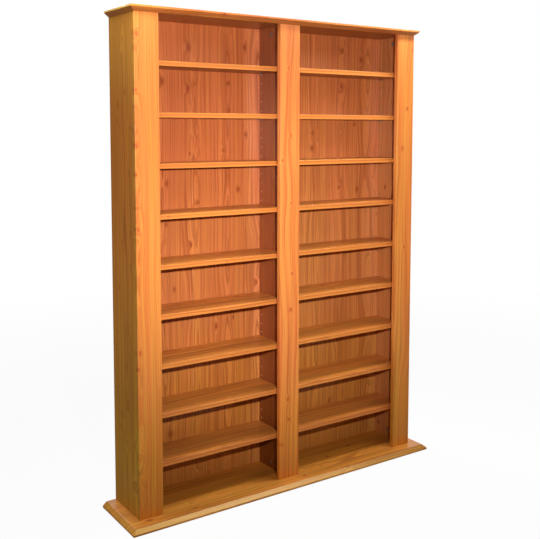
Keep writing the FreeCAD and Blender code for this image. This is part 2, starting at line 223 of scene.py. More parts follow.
def pine_print(place, along, across, seed, colours, knots, knot_colours=(knot_core, knot_rim),
               scatter=1.0, pith=0.0, plank=0.0, bold=1.0, open_grain=0.0):
    """The pine print. Growth rings are the level lines of the distance from a pith that wanders
    behind the board, the root of across squared plus depth squared. Each knot lifts that distance
    over an oval round it, so the rings bend past the knot and close round it. On a wide board the
    pith comes again at every plank of the pattern. 'scatter' says how many small knots are strewn,
    'bold' how dark the lines are, and 'open_grain' how much they change from place to place."""
    pale, deep, late, gold = colours
    straight = place.node("CombineXYZ", {}, {0: reach(place, along), 1: reach(place, across), 2: 0.0})
    loose = stretched(straight, (9, 45, 0), (0, 0, seed))
    wobble = place.node("TexNoise", {}, {"Vector": loose, "Scale": 1.0}, out=1)
    board = stretched(wobble, (0.008, 0.0016, 0.0), straight)
    length, spread, _ = split(board)
    wander = (clouds(board, (1.1, 3.0, 0), (0, 0, seed + 3), 1) - 0.5) * 0.030
    depth = (clouds(board, (2.2, 9.0, 0), (0, 0, seed + 7), 1) - 0.40) * 0.09
    offset = spread - pith + wander
    if plank:
        offset = offset.maths("PINGPONG", offset, plank / 2)
    ring = (offset * offset + depth * depth) ** 0.5

    # Small knots strewn over the board, one in each cell that has one at all
    cell_along, cell_across = 0.30, 0.125
    cells = stretched(board, (1 / cell_along, 1 / cell_across, 0), (seed, seed * 0.7, 0))
    strewn = {"Vector": cells, "Scale": 1.0, "Randomness": 0.85}
    distance = board.node("TexVoronoi", {"voronoi_dimensions": "2D"}, strewn)
    lot = board.node("TexVoronoi", {"voronoi_dimensions": "2D"}, strewn, out=1)
    lot = lot.node("SeparateColor", {}, {0: lot})
    empty = (lot > 0.45 * scatter) * 40
    nearest = distance / (0.010 + lot * 0.040) + empty
    lift = fade(nearest, knot_reach, 0) * 0.005

    # Knots with a place of their own, each with its radius
    for x, y, z, radius in knots:
        where = np.array([x, y, z])
        size = (1 / (radius * knot_stretch), 1 / radius, 0)
        centre = (-float(where @ along) * size[0], -float(where @ across) * size[1], 0)
        oval = distance_of(stretched(board, size, centre))
        lift = lift + fade(oval, knot_reach, 0) * (radius * 1.3)
        nearest = least(nearest, oval)

    ring = ring + lift
    lines = board.node("CombineXYZ", {}, {0: length, 1: ring + spread * 0.6, 2: seed})
    broad = clouds(lines, (0.6, 42, 1), (0, 0, 11), 1)
    streak = clouds(lines, (1.0, 170, 1), (0, 0, 17), 2, 0.6)
    thin = clouds(lines, (1.6, 380, 1), (0, 0, 29), 2, 0.6)
    count = ring * 230 + broad * 5
    turn = count.maths("FRACT", count)
    winter = fade(turn, 0.45, 0.90) * fade(turn, 1.0, 0.94)
    strength = fade(clouds(lines, (1.4, 38, 1), (0, 0, 23), 1), 0.40, 0.62)
    fibre = clouds(board, (30, 1300, 0), (0, 0, seed + 31), 2, 0.6)
    patch = clouds(board, (1.3, 9, 0), (0, 0, seed + 41), 2)

    colour = stained(pale, gold, fade(broad, 0.44, 0.62))
    colour = stained(colour, deep, fade(streak, 0.42, 0.66) * bold)
    colour = stained(colour, late, fade(thin, 0.50, 0.64) * (0.60 * bold))
    colour = stained(colour, late, winter * strength * (0.50 * bold))
    halo = fade(nearest, 2.8, 1.0)
    colour = stained(colour, late, halo * 0.35)
    swirl = sine(nearest * 7)
    core = fade(nearest, 1.25, 0.85)
    colour = stained(colour, knot_colours[0], core * (0.82 + swirl * 0.15))
    colour = stained(colour, knot_colours[1], core * fade(nearest, 0.70, 1.0) * 0.40)
    uneven = (0.5 - thin) * 0.35 + (1 - streak - broad) * open_grain
    colour = shaded(colour, 0.78 + fibre * 0.24 + patch * 0.20 + uneven)
    rough = 0.26 + fibre * 0.10 + winter * 0.03 + core * 0.06
    relief = fibre - core * 0.4 + winter * 0.15
    return colour, rough, relief


foil_gloss = 0.45
foil_relief = 0.00006
# The outside colour is painted light and sheen on the outer faces.
outside_light_tone = (0.65, 0.275, 0.034)


def foil_board(name, along, across, seed, colours, knots, bare=None, outer=None, tone=None,
               **print_settings):
    """Foil over particle board. 'bare' gets the place and says where the board shows through,
    'tone' changes the print by place, with painted light and shade in some tones, and the face that
    stands at 'outer', the outside of a side panel, has a greener cast, painted light and sheen, and less
    gloss."""

    def build(place):
        colour, rough, relief = pine_print(
            place, along, across, seed, colours, knots, **print_settings)
        axes = split(place)
        if tone:
            colour = tone(*axes, colour)
        if outer is not None:
            # The outer face's cast is painted light and sheen.
            on_face = abs(axes[0] - outer) < foil_thickness
            change = tuple(wanted / own for wanted, own in zip(outside_light_tone, colours[0]))
            colour = stained(colour, cast(colour, change), on_face)
            rough = rough + on_face * 0.30
        if bare:
            share = bare(*axes)
            chips, pits = bare_chipboard(place)
            colour = stained(colour, chips, share)
            rough = rough + share * 0.45
            relief = relief - share * pits * 6
        return {
            "Base Color": colour,
            "Roughness": rough,
            "Specular IOR Level": foil_gloss,
            "relief": (relief, foil_relief),
        }

    return finish(name, build)


upright, level = (0, 0, 1), (1, 0, 0)
foil_thickness = 0.0003
rear_y = float(cad_high[1])
base_bevel = [(0.0, 0.0), (0.0, 0.006), (0.013, 0.018)]
base_low, base_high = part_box("base_board")


def softened(corners, radius, start, end, steps=6):
    """A profile with its corners eased: each corner becomes the curve of squares
    (1-t)^2 before + 2t(1-t) corner + t^2 after, between points one radius away on either side."""
    line = np.array([start] + corners + [end])
    before, corner, after = line[:-2], line[1:-1], line[2:]
    length = lambda way: np.linalg.norm(way, axis=1, keepdims=True)
    toward = lambda to: corner + (to - corner) * radius / length(to - corner)
    start, end = toward(before)[:, None], toward(after)[:, None]
    t = np.linspace(0, 1, steps)[None, :, None]
    curve = (1 - t) ** 2 * start + 2 * t * (1 - t) * corner[:, None] + t ** 2 * end
    return curve.reshape(-1, 2)


def bands(loops, around, first=0):
    """Quads between neighbouring loops of points, numbered one after the other from the first."""
    index = first + np.arange(loops * around).reshape(loops, around)
    here, there = index[:-1], index[1:]
    quads = np.stack([here, np.roll(here, -1, 1), np.roll(there, -1, 1), there], axis=2)
    return quads.reshape(-1, 4).tolist(), index


def as_piece(name, points, faces, material, smooth_below=None):
    """A mesh object at the origin, its place in its points, riding with the carcass. Edges that
    turn less than an angle can be shaded smooth."""
    mesh = bpy.data.meshes.new(name)
    mesh.from_pydata(points.tolist(), [], faces)
    mesh.polygons.foreach_set("use_smooth", [smooth_below is not None] * len(mesh.polygons))
    if smooth_below is not None:
        mesh.set_sharp_from_angle(angle=math.radians(smooth_below))
    mesh.materials.append(material)
    mesh.validate()
    piece = bpy.data.objects.new(name, mesh)
    bpy.context.scene.collection.objects.link(piece)
    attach(piece, "carcass")
    return piece


def wrapped_board(name, low, high, profile, material, corner_ease=0.0015, steps=5):
    """A flat board whose front and ends follow a profile of (inset, height). Each profile point is
    a loop round the board, that far inside the outline at the front and ends, with eased front
    corners. Neighbouring loops are joined, and one face closes the underside and one the top."""
    turn = np.linspace(0, math.pi / 2, steps)
    off_side, off_front = corner_ease * (1 - np.cos(turn)), corner_ease * (1 - np.sin(turn))
    from_side = np.concatenate([[0], off_side, off_side[::-1], [0]])
    from_front = np.concatenate([[np.nan], off_front, off_front[::-1], [np.nan]])
    right = np.arange(len(from_side)) > steps
    inset, height = profile[:, :1], profile[:, 1:]
    x = np.where(right, high[0] - inset - from_side, low[0] + inset + from_side)
    y = np.where(np.isnan(from_front), high[1], low[1] + inset + from_front)
    points = np.stack([x, y, np.broadcast_to(height, x.shape)], axis=2)
    faces, index = bands(*x.shape)
    faces += [index[0, ::-1].tolist(), index[-1].tolist()]
    return as_piece(name, points.reshape(-1, 3), faces, material)


base_profile = softened(base_bevel, 0.0009, (0.004, 0.0), (0.02, 0.018))
base_colours = (
    (0.77, 0.308, 0.046, 1), (0.69, 0.238, 0.036, 1), (0.48, 0.135, 0.021, 1), (0.80, 0.360, 0.052, 1),
)
base_knots = [
    (-0.380, -0.086, 0.018, 0.0045), (-0.541, -0.079, 0.018, 0.005), (0.060, -0.081, 0.018, 0.004),
    (0.362, 0.043, 0.018, 0.004), (0.227, 0.003, 0.018, 0.004), (0.236, -0.110, 0.015, 0.004),
]
# The pale bevel colour is partly the stretched foil and partly a painted highlight.
bevel_pale_and_highlight = (0.98, 0.54, 0.085, 1)
bevel_depth, bevel_top = 0.0125, 0.0174
# The cast for inside the bays is painted shade.
bay_shade_cast, bay_end = (0.86, 0.82, 0.62), 0.556


def base_tone(x, y, z, colour):
    """Paler on the bevel, partly where the foil is stretched and partly a painted highlight, which is
    strongest along the left of the front. Inside the bays the print is a little darker: painted shade."""
    inside = fade(y, -0.06, 0.01) * (abs(x) < bay_end)
    colour = stained(colour, cast(colour, bay_shade_cast), inside)
    # The front share, strongest at the left, is a painted highlight.
    front = (y < float(base_low[1]) + bevel_depth) * fade(x, 0.45, -0.25)
    on_bevel = (z < bevel_top) * fade(z, 0.004, 0.008)
    return stained(colour, bevel_pale_and_highlight, on_bevel * (0.22 + front * 0.48))


base_foil = foil_board(
    "base_pine_foil", level, (0, 1, 0.3), 2.0, base_colours, base_knots,
    bare=lambda x, y, z: most(y > rear_y - foil_thickness, z < foil_thickness),
    tone=base_tone, scatter=0.7, pith=-0.02, open_grain=0.9,
)
base = wrapped_board("base_board_wrapped", base_low, base_high, base_profile, base_foil)
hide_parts("base_board")

# ---- Side panels and divider --------------------------------------------------------------
# Three upright boards, 16 mm thick, with the foil on their broad faces only. The pin holes, the
# grooves for the backs and the rear edges show the pale particle board.


def dress(node, material):
    """Gives a whole CAD node one finish."""
    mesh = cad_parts[node].data
    mesh.materials.clear()
    mesh.materials.append(material)


def inside_faces(low_x, high_x):
    """True below the foil of a board that stands between two planes."""
    return lambda x, y, z: least(x - low_x, high_x - x) > foil_thickness


hole_columns = (-0.013, 0.098)
hole_pitch, hole_phase, hole_radius = 0.032, 0.02725, 0.0025
hole_rows, rows_reach = (1.19525, 0.39525), 0.245
rim_width = 0.0008


def drilled_rims(y, z):
    """Where the drill has broken the foil: a narrow ring round each hole of the two columns."""
    away = lambda value, centre: abs(value - centre)
    up = (z - (hole_phase - hole_pitch / 2)) % hole_pitch - hole_pitch / 2
    sideways = least(away(y, hole_columns[0]), away(y, hole_columns[1]))
    gap = (up * up + sideways * sideways) ** 0.5
    in_rows = least(away(z, hole_rows[0]), away(z, hole_rows[1])) < rows_reach
    return fade(gap, hole_radius + rim_width, hole_radius + rim_width * 0.3) * in_rows


def side_bare(low_x, high_x, outer):
    """Board shows below the foil and in the rims of the holes, which the outside doesn't have."""

    def bare(x, y, z):
        inward = abs(x - outer) > foil_thickness if outer else 1.0
        return most(inside_faces(low_x, high_x)(x, y, z), drilled_rims(y, z) * inward)

    return bare


side_knots = {
    "left_side_panel": [
        (-0.572, 0.008, 1.360, 0.004), (-0.572, 0.060, 1.322, 0.006), (-0.572, 0.066, 1.273, 0.004),
        (-0.572, -0.029, 1.249, 0.004), (-0.572, -0.020, 1.110, 0.004), (-0.572, 0.044, 0.889, 0.004),
        (-0.572, -0.024, 0.925, 0.004), (-0.572, -0.024, 0.818, 0.004), (-0.572, 0.070, 0.742, 0.004),
        (-0.572, 0.004, 0.615, 0.005), (-0.572, 0.059, 0.330, 0.006), (-0.572, 0.066, 0.286, 0.004),
        (-0.572, 0.009, 0.368, 0.005), (-0.572, -0.031, 0.254, 0.005), (-0.572, -0.027, 0.120, 0.006),
    ],
    "right_side_panel": [
        (0.572, 0.02, 1.45, 0.006), (0.572, 0.07, 1.02, 0.005), (0.556, 0.091, 0.061, 0.005),
    ],
    "centre_divider": [(-0.008, 0.02, 1.30, 0.004), (-0.008, 0.06, 0.92, 0.004)],
}
# The inner faces carry darkened copies of one print, painted shade: least on the right panel and most on
# the divider.
side_colours = {
    "left_side_panel": (
        (0.43, 0.120, 0.034, 1), (0.36, 0.092, 0.027, 1),
        (0.24, 0.054, 0.015, 1), (0.45, 0.140, 0.036, 1),
    ),
    "right_side_panel": (
        (0.65, 0.240, 0.068, 1), (0.56, 0.184, 0.053, 1),
        (0.38, 0.105, 0.030, 1), (0.68, 0.275, 0.073, 1),
    ),
    "centre_divider": (
        (0.39, 0.106, 0.029, 1), (0.33, 0.081, 0.023, 1),
        (0.22, 0.048, 0.013, 1), (0.41, 0.124, 0.031, 1),
    ),
}
# Casts by height that paint light and shade on the left panel and the divider.
mid_height_shade_cast, side_foot_light_cast = (0.93, 0.74, 0.74), (1.12, 1.24, 0.84)
divider_foot_shade_cast = (0.72, 0.66, 0.25)


def divider_tone(x, y, z, colour):
    """Darker at the foot: painted shade."""
    return stained(colour, cast(colour, divider_foot_shade_cast), fade(z, 0.34, 0.12))


def side_tone(x, y, z, colour):
    """Darker and redder at mid height, painted shade, and lighter and greener at the foot, painted light.
    """
    mid_height = fade(z, 0.40, 1.10) * fade(z, 1.50, 1.25)
    colour = stained(colour, cast(colour, mid_height_shade_cast), mid_height)
    return stained(colour, cast(colour, side_foot_light_cast), fade(z, 0.50, 0.15))


for number, (node, knots) in enumerate(side_knots.items()):
    low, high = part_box(node)
    outer = {"left_side_panel": float(low[0]), "right_side_panel": float(high[0])}.get(node)
    foil = foil_board(
        node + "_pine_foil", upright, (0, 1, 0), 20.0 + 9 * number, side_colours[node], knots,
        bare=side_bare(float(low[0]), float(high[0]), outer), outer=outer, scatter=0.5, pith=0.03,
        tone={"left_side_panel": side_tone, "centre_divider": divider_tone}.get(node),
    )
    dress(node, foil)

# ---- Dowels and cam bolts ---------------------------------------------------------------------
# Beech dowels line the boards up, and steel bolts are what the cam locks pull on. All of them
# are hidden once the shelf stands.


def beech_wood(place):
    grain = clouds(place, (260, 260, 40), (2, 0, 0), 3, 0.6)
    flecks = fade(clouds(place, (700, 700, 160), (9, 0, 0), 1), 0.58, 0.72)
    colour = stained((0.66, 0.43, 0.22, 1), (0.46, 0.26, 0.12, 1), fade(grain, 0.35, 0.65))
    colour = stained(colour, (0.36, 0.18, 0.08, 1), flecks * 0.6)
    return {"Base Color": colour, "Roughness": 0.62 + grain * 0.15, "relief": (grain, 0.00008)}


def bright_steel(place):
    """Plated steel: fine turning marks and a little dulling in patches."""
    marks = clouds(place, (2600, 2600, 2600), (1, 0, 0), 2)
    dull = fade(clouds(place, (120, 120, 120), (5, 0, 0), 2), 0.4, 0.7)
    colour = stained((0.62, 0.62, 0.60, 1), (0.44, 0.43, 0.41, 1), dull)
    rough = 0.24 + dull * 0.14 + marks * 0.08
    return {"Base Color": colour, "Roughness": rough, "Metallic": 1.0, "relief": (marks, 0.00002)}


beech = finish("beech_dowel_wood", beech_wood)
steel = finish("plated_steel", bright_steel)
for node in ("carcass_dowels", "divider_dowels", "stile_dowels"):
    dress(node, beech)
for node in ("cam_bolts", "through_bolt"):
    dress(node, steel)

# ---- Stiles -------------------------------------------------------------------------------
# Three flat stiles, 82 by 15 mm, stand on the base and cover the front edges of the uprights.
# They are wrapped all round, with a small round on the long front edges.

stile_knots = {
    "left_stile": [
        (-0.563, -0.065, 1.532, 0.004), (-0.566, -0.065, 1.364, 0.003), (-0.567, -0.065, 1.196, 0.0035),
        (-0.568, -0.065, 1.108, 0.003), (-0.564, -0.065, 1.006, 0.003), (-0.564, -0.065, 0.942, 0.004),
        (-0.563, -0.065, 0.556, 0.004), (-0.569, -0.065, 0.504, 0.0035),
    ],
    "centre_stile": [
        (-0.006, -0.065, 1.453, 0.003), (0.003, -0.065, 1.226, 0.003), (-0.028, -0.065, 1.141, 0.003),
        (0.007, -0.065, 0.994, 0.003), (0.011, -0.065, 0.750, 0.0035), (0.008, -0.065, 0.621, 0.0035),
        (-0.005, -0.065, 0.306, 0.004), (0.001, -0.065, 0.232, 0.003), (-0.029, -0.065, 0.147, 0.003),
    ],
    "right_stile": [
        (0.565, -0.065, 1.544, 0.003), (0.543, -0.065, 1.325, 0.004), (0.521, -0.065, 1.175, 0.004),
        (0.535, -0.065, 0.800, 0.0035),
    ],
}
# The foot cast paints the colour of shade towards the foot.
stile_foot_shade_tint, middle_cast = (1.0, 1.10, 0.62), (0.97, 0.86, 1.0)
red_knots = (0.60, 0.100, 0.026, 1), (0.48, 0.070, 0.020, 1)
stile_reach = 0.1
honey = (
    (0.80, 0.254, 0.054, 1), (0.72, 0.190, 0.041, 1), (0.52, 0.113, 0.024, 1), (0.82, 0.318, 0.060, 1),
)


def stile_tone(x, y, z, colour):
    """Yellower towards the foot, a painted shade colour, and redder on the middle stile."""
    colour = stained(colour, cast(colour, middle_cast), abs(x) < stile_reach)
    return stained(colour, cast(colour, stile_foot_shade_tint), fade(z, 0.50, 0.12))


stile_pith = {"left_stile": -0.600, "centre_stile": 0.045, "right_stile": 0.560}
stile_outside = {
    "left_stile": float(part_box("left_stile")[0][0]), "right_stile": float(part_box("right_stile")[1][0]),
}
for number, (node, knots) in enumerate(stile_knots.items()):
    foil = foil_board(
        node + "_pine_foil", upright, (1, 0.6, 0), 50.0 + 9 * number, honey, knots,
        outer=stile_outside.get(node), scatter=0.0, pith=stile_pith[node], bold=0.8,
        tone=stile_tone, knot_colours=red_knots,
    )
    dress(node, foil)

# ---- Top board ----------------------------------------------------------------------------
# The top is foil-wrapped particle board with a square band above a bevel, which oversails the
# stiles and the sides. Its rear edge is cut square and left bare.

top_low, top_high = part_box("top_board")
top_bevel = [(0.015, 0.0), (0.0, 0.012), (0.0, 0.018)]
top_profile = softened(top_bevel, 0.0008, (0.025, 0.0), (0.004, 0.018)) + (0.0, float(top_low[2]))
top_colours = (
    (0.80, 0.285, 0.052, 1), (0.72, 0.215, 0.042, 1), (0.52, 0.122, 0.024, 1), (0.84, 0.345, 0.060, 1),
)
top_knots = [(0.21, -0.02, 1.612, 0.006), (-0.33, 0.05, 1.612, 0.005)]
# Casts that paint shade under the top and round its bevel, and light on the ends of its band.
underside_shade_cast, bevel_shade_cast, end_light_cast = (0.52, 0.47, 0.50), (0.76, 0.74, 0.80), (1.15, 2.05, 2.4)
band_foot = 0.0122


def top_tone(x, y, z, colour):
    """Darker round the bevel and darker still underneath, painted shade, and lighter and greener on the
    band at the ends, painted light.
    """
    rise = z - float(top_low[2])
    band = rise > band_foot
    at_end = (abs(x) > float(top_high[0]) - foil_thickness) * band
    toned = stained(cast(colour, bevel_shade_cast), cast(colour, underside_shade_cast), rise < foil_thickness)
    return stained(stained(toned, colour, band), cast(colour, end_light_cast), at_end)


top_foil = foil_board(
    "top_pine_foil", level, (0, 1, 0.5), 80.0, top_colours, top_knots,
    bare=lambda x, y, z: y > rear_y - foil_thickness, tone=top_tone, scatter=0.8, pith=0.75,
)
top = wrapped_board("top_board_wrapped", top_low, top_high, top_profile, top_foil)
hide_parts("top_board")

# ---- Backs --------------------------------------------------------------------------------
# Two folding backs of 3 mm hardboard slide in grooves. The front has the pine print, which bends
# at the fold, and the rear is bare brown board with the screen marks of its press.

amber = (
    (0.63, 0.196, 0.057, 1), (0.47, 0.124, 0.033, 1), (0.31, 0.068, 0.018, 1), (0.67, 0.228, 0.058, 1),
)
back_knots = {
    "left_back": [
        (-0.292, 0.113, 1.519, 0.006), (-0.070, 0.113, 1.534, 0.005), (-0.393, 0.113, 1.405, 0.006),
        (-0.295, 0.113, 1.383, 0.005), (-0.133, 0.113, 1.406, 0.003), (-0.133, 0.113, 1.313, 0.004),
        (-0.067, 0.113, 1.228, 0.004), (-0.157, 0.113, 1.173, 0.004), (-0.290, 0.113, 1.163, 0.003),
        (-0.377, 0.113, 1.066, 0.005), (-0.097, 0.113, 1.036, 0.0055), (-0.259, 0.113, 0.996, 0.004),
        (-0.287, 0.113, 0.853, 0.004), (-0.381, 0.113, 0.927, 0.004), (-0.352, 0.113, 0.705, 0.004),
        (-0.021, 0.113, 0.694, 0.004), (-0.119, 0.113, 0.578, 0.004), (-0.188, 0.113, 0.554, 0.0055),
        (-0.371, 0.113, 0.203, 0.007),
    ],
    "right_back": [
        (0.371, 0.113, 1.545, 0.005), (0.465, 0.113, 1.515, 0.006), (0.367, 0.113, 1.409, 0.005),
        (0.229, 0.113, 1.234, 0.004), (0.229, 0.113, 1.175, 0.006), (0.434, 0.113, 1.266, 0.004),
        (0.359, 0.113, 1.024, 0.004), (0.449, 0.113, 1.013, 0.005), (0.317, 0.113, 0.190, 0.005),
    ],
}
# Painted light and shade colour by height, and a painted sheen at the right end of each back.
high_light_cast, low_shade_cast, right_end_sheen_cast = (1.0, 0.87, 0.92), (1.04, 1.16, 0.75), (1.13, 1.26, 1.50)
# The right back's cast is a lighter copy of the same print: painted light.
back_light_casts = {"left_back": (1.0, 1.0, 1.0), "right_back": (1.02, 1.12, 1.12)}
fold_pale = (0.80, 0.42, 0.22, 1)
brown_pale, brown_dark = (0.270, 0.145, 0.070, 1), (0.150, 0.074, 0.036, 1)
screen_pitch = 0.0016


def folding_back(seed, knots, front_y, fold_x, right_x, bay_light_cast):
    """The print in front, redder above and yellower below, painted light and shade colour, and paler at
    the right end, a painted sheen, and brown pressed fibre behind and in the cut of the fold."""

    def build(place):
        colour, rough, relief = pine_print(
            place, upright, level, seed, amber, knots, scatter=0.3, plank=0.13, bold=0.85)
        x, y, z = split(place)
        colour = cast(colour, bay_light_cast)
        # Painted light colour above, painted shade colour below and a painted sheen at the right end.
        colour = stained(colour, cast(colour, high_light_cast), fade(z, 0.80, 1.20))
        colour = stained(colour, cast(colour, low_shade_cast), fade(z, 0.65, 0.30))
        colour = stained(colour, cast(colour, right_end_sheen_cast), fade(x, right_x - 0.08, right_x - 0.01))
        bare = y > front_y + foil_thickness
        wear = fade(clouds(place, (90, 1, 18), (3, 0, 0), 3), 0.40, 0.62)
        off_fold = abs(x - fold_x)
        colour = stained(colour, fold_pale, fade(off_fold, 0.0012, 0.0004) * (0.10 + wear * 0.45))
        wires = lambda run: sine(run * (2 * math.pi / screen_pitch))
        screen = wires(x) * wires(z)
        fibres = clouds(place, (420, 420, 420), (7, 0, 0), 4, 0.65)
        blotch = clouds(place, (30, 1, 22), (8, 0, 0), 4, 0.6)
        share = fade(fibres * 0.8 + blotch * 0.3 + screen * 0.05, 0.30, 0.78)
        brown = stained(brown_dark, brown_pale, share)
        return {
            "Base Color": stained(colour, brown, bare),
            "Roughness": rough * (1 - bare) + bare * (0.72 + fibres * 0.2),
            "Specular IOR Level": foil_gloss,
            "relief": (relief * (1 - bare) + bare * (screen * 1.2 + fibres * 2), foil_relief),
        }

    return build


for number, (node, knots) in enumerate(back_knots.items()):
    low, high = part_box(node)
    fold_x, seed = float(low[0] + high[0]) / 2, 110.0 + 13 * number
    build = folding_back(seed, knots, float(low[1]), fold_x, float(high[0]), back_light_casts[node])
    dress(node, finish(node + "_print", build))

# ---- Shelves ------------------------------------------------------------------------------
# Each bay has a fixed shelf at mid height and eight loose ones. Broad faces and front edge are
# foiled; the ends and the rear edge are bare.

shelf_low, shelf_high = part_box("left_fixed_shelf")
shelf_pitch = 0.160
shelf_foot = float(shelf_low[2]) % shelf_pitch
shelf_thick = float(shelf_high[2] - shelf_low[2])
shelf_front = float(shelf_low[1])
edge_round = 0.0011
# The pale edge colour is partly the stretched print and partly a painted highlight; the red line is print.
edge_pale_and_highlight, edge_red = (0.77, 0.258, 0.055, 1), (0.56, 0.105, 0.026, 1)
shelf_red_line = 0.0095


def shelf_bare(x, y, z):
    """Below the foil of the broad faces, apart from the front edge. All the shelves stand one
    pitch apart, so the height within a pitch says how deep a point is."""
    height = (z - shelf_foot + 0.001) % shelf_pitch - 0.001
    inside = least(height, shelf_thick - height) > foil_thickness
    return inside * (y > shelf_front + edge_round)


def shelf_tone(x, y, z, colour):
    """The front edge, where the print is pale, partly from the stretched foil and partly a painted
    highlight, most along the lower border, and has a red line above the middle. The pale part runs on
    a few millimetres over the top, a painted highlight, and the underside is darker, painted shade."""
    height = (z - shelf_foot) % shelf_pitch
    front = y < shelf_front + edge_round
    off_middle = abs(height - shelf_red_line)
    # A pale strip on the top just behind the front edge: a painted highlight.
    near = fade(y, shelf_front + 0.007, shelf_front + 0.002) * (height > shelf_thick - 0.001) * 0.5
    # The darker underside is painted shade.
    under = (height < foil_thickness) * (1 - front)
    colour = stained(colour, cast(colour, underside_shade_cast), under)
    paler = front * (0.45 + fade(height, 0.0065, 0.0015) * 0.35)
    colour = stained(colour, edge_pale_and_highlight, most(paler, near))
    return stained(colour, edge_red, front * fade(off_middle, 0.0028, 0.0006) * 0.55)


shelf_colours = (
    (0.68, 0.250, 0.044, 1), (0.63, 0.185, 0.034, 1), (0.39, 0.090, 0.018, 1), (0.74, 0.305, 0.052, 1),
)
shelf_knots = [
    (-0.443, -0.034, 0.966, 0.003), (-0.228, -0.034, 0.806, 0.003), (-0.195, -0.034, 0.326, 0.003),
]
shelf_foil = foil_board(
    "shelf_pine_foil", level, (0, 1, 1), 140.0, shelf_colours, shelf_knots,
    bare=shelf_bare, tone=shelf_tone, scatter=0.6, plank=0.15, open_grain=0.9,
)
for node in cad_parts:
    if "_shelf" in node and "pins" not in node:
        dress(node, shelf_foil)

# ---- Shelf pins ---------------------------------------------------------------------------
# Four plated steel pins carry each loose shelf. Each is turned, pushed into its hole up to a
# collar, with a shallow groove and a rounded tip under the shelf.

pin_profile = np.array([
    (-6.5, 1.9), (-6.1, 2.3), (-5.4, 2.45), (-0.5, 2.45), (-0.3, 2.3), (0.0, 2.3), (0.0, 3.3),
    (0.08, 3.44), (0.2, 3.5), (0.8, 3.5), (0.92, 3.44), (1.0, 3.3), (1.0, 2.45), (3.9, 2.45),
    (4.05, 2.3), (4.45, 2.3), (4.6, 2.45), (6.9, 2.45), (7.32, 2.366), (7.68, 2.128), (7.92, 1.77),
    (8.0, 1.35),
]) / 1000
pin_sectors = 24
pin_drop = 0.01075
loose_shelves = np.array([1.446, 1.286, 1.126, 0.966, 0.646, 0.486, 0.326, 0.166])
bay_faces = {"left_bay_shelf_pins": (-0.556, -0.008), "right_bay_shelf_pins": (0.008, 0.556)}


def turned(profile, sectors):
    """A turned part with its axis along x: each (along, radius) of the profile goes round by the
    angle t to (along, radius cos t, radius sin t), and a flat disc closes each end."""
    turn = np.arange(sectors) * 2 * math.pi / sectors
    along, radius = profile[:, :1], profile[:, 1:]
    sweep = [along + 0 * turn, radius * np.cos(turn), radius * np.sin(turn)]
    faces, index = bands(len(profile), sectors)
    faces += [index[0, ::-1].tolist(), index[-1].tolist()]
    return np.stack(sweep, axis=2).reshape(-1, 3), faces


def copied(points, faces, places, turns):
    """One shape set at many places: each point p becomes turn p + place."""
    moved = np.einsum("cij,pj->cpi", turns, points) + places[:, None]
    firsts = range(0, len(places) * len(points), len(points))
    more = [[corner + first for corner in face] for first in firsts for face in faces]
    return moved.reshape(-1, 3), more


pin_points, pin_faces = turned(pin_profile, pin_sectors)
for node, faces_x in bay_faces.items():
    x, y, z = np.meshgrid(faces_x, hole_columns, loose_shelves - pin_drop, indexing="ij")
    places = np.stack([x, y, z], axis=-1).reshape(-1, 3)
    outward = np.where(places[:, 0] == faces_x[0], 1.0, -1.0)
    turns = np.zeros((len(places), 3, 3))
    turns[:, 0, 0], turns[:, 1, 1], turns[:, 2, 2] = outward, outward, 1
    points, faces = copied(pin_points, pin_faces, places, turns)
    pins = as_piece(node + "_turned", points, faces, steel, smooth_below=40)
    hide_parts(node)

# ---- Cam locks ----------------------------------------------------------------------------
# Round cast zinc locks, flush with the inner faces. Each has a ring and a cross for the driver,
# a small arrow towards its bolt, and behind the plate an open ring that grips the bolt's head.


def cast_zinc(place):
    grain = clouds(place, (900, 900, 900), (1, 0, 0), 3)
    dull = fade(clouds(place, (260, 260, 260), (6, 0, 0), 2), 0.40, 0.66)
    share = fade(grain, 0.35, 0.7) * 0.6 + dull * 0.4
    colour = stained((0.42, 0.47, 0.48, 1), (0.25, 0.29, 0.30, 1), share)
    rough = 0.34 + grain * 0.2 + dull * 0.08
    return {"Base Color": colour, "Roughness": rough, "Metallic": 1.0, "relief": (grain, 0.00004)}


lock_rim = np.array([
    (6.2, 0.0), (6.3, 0.3), (6.7, 0.3), (6.8, 0.0), (7.15, 0.0), (7.5, 0.35), (7.5, 4.1),
])
cross_levels = [(3.2, 0.65, 0.0), (3.08, 0.55, 0.15), (2.9, 0.45, 2.2)]
arrow = np.array([(4.2, 0.0), (4.2, 0.85), (5.5, 0.0), (4.2, -0.85)])
arrow_depth = 0.35
grip_inner, grip_outer, grip_end, grip_mouth = 5.0, 7.5, 11.9, 2.6
lock_sectors = 64


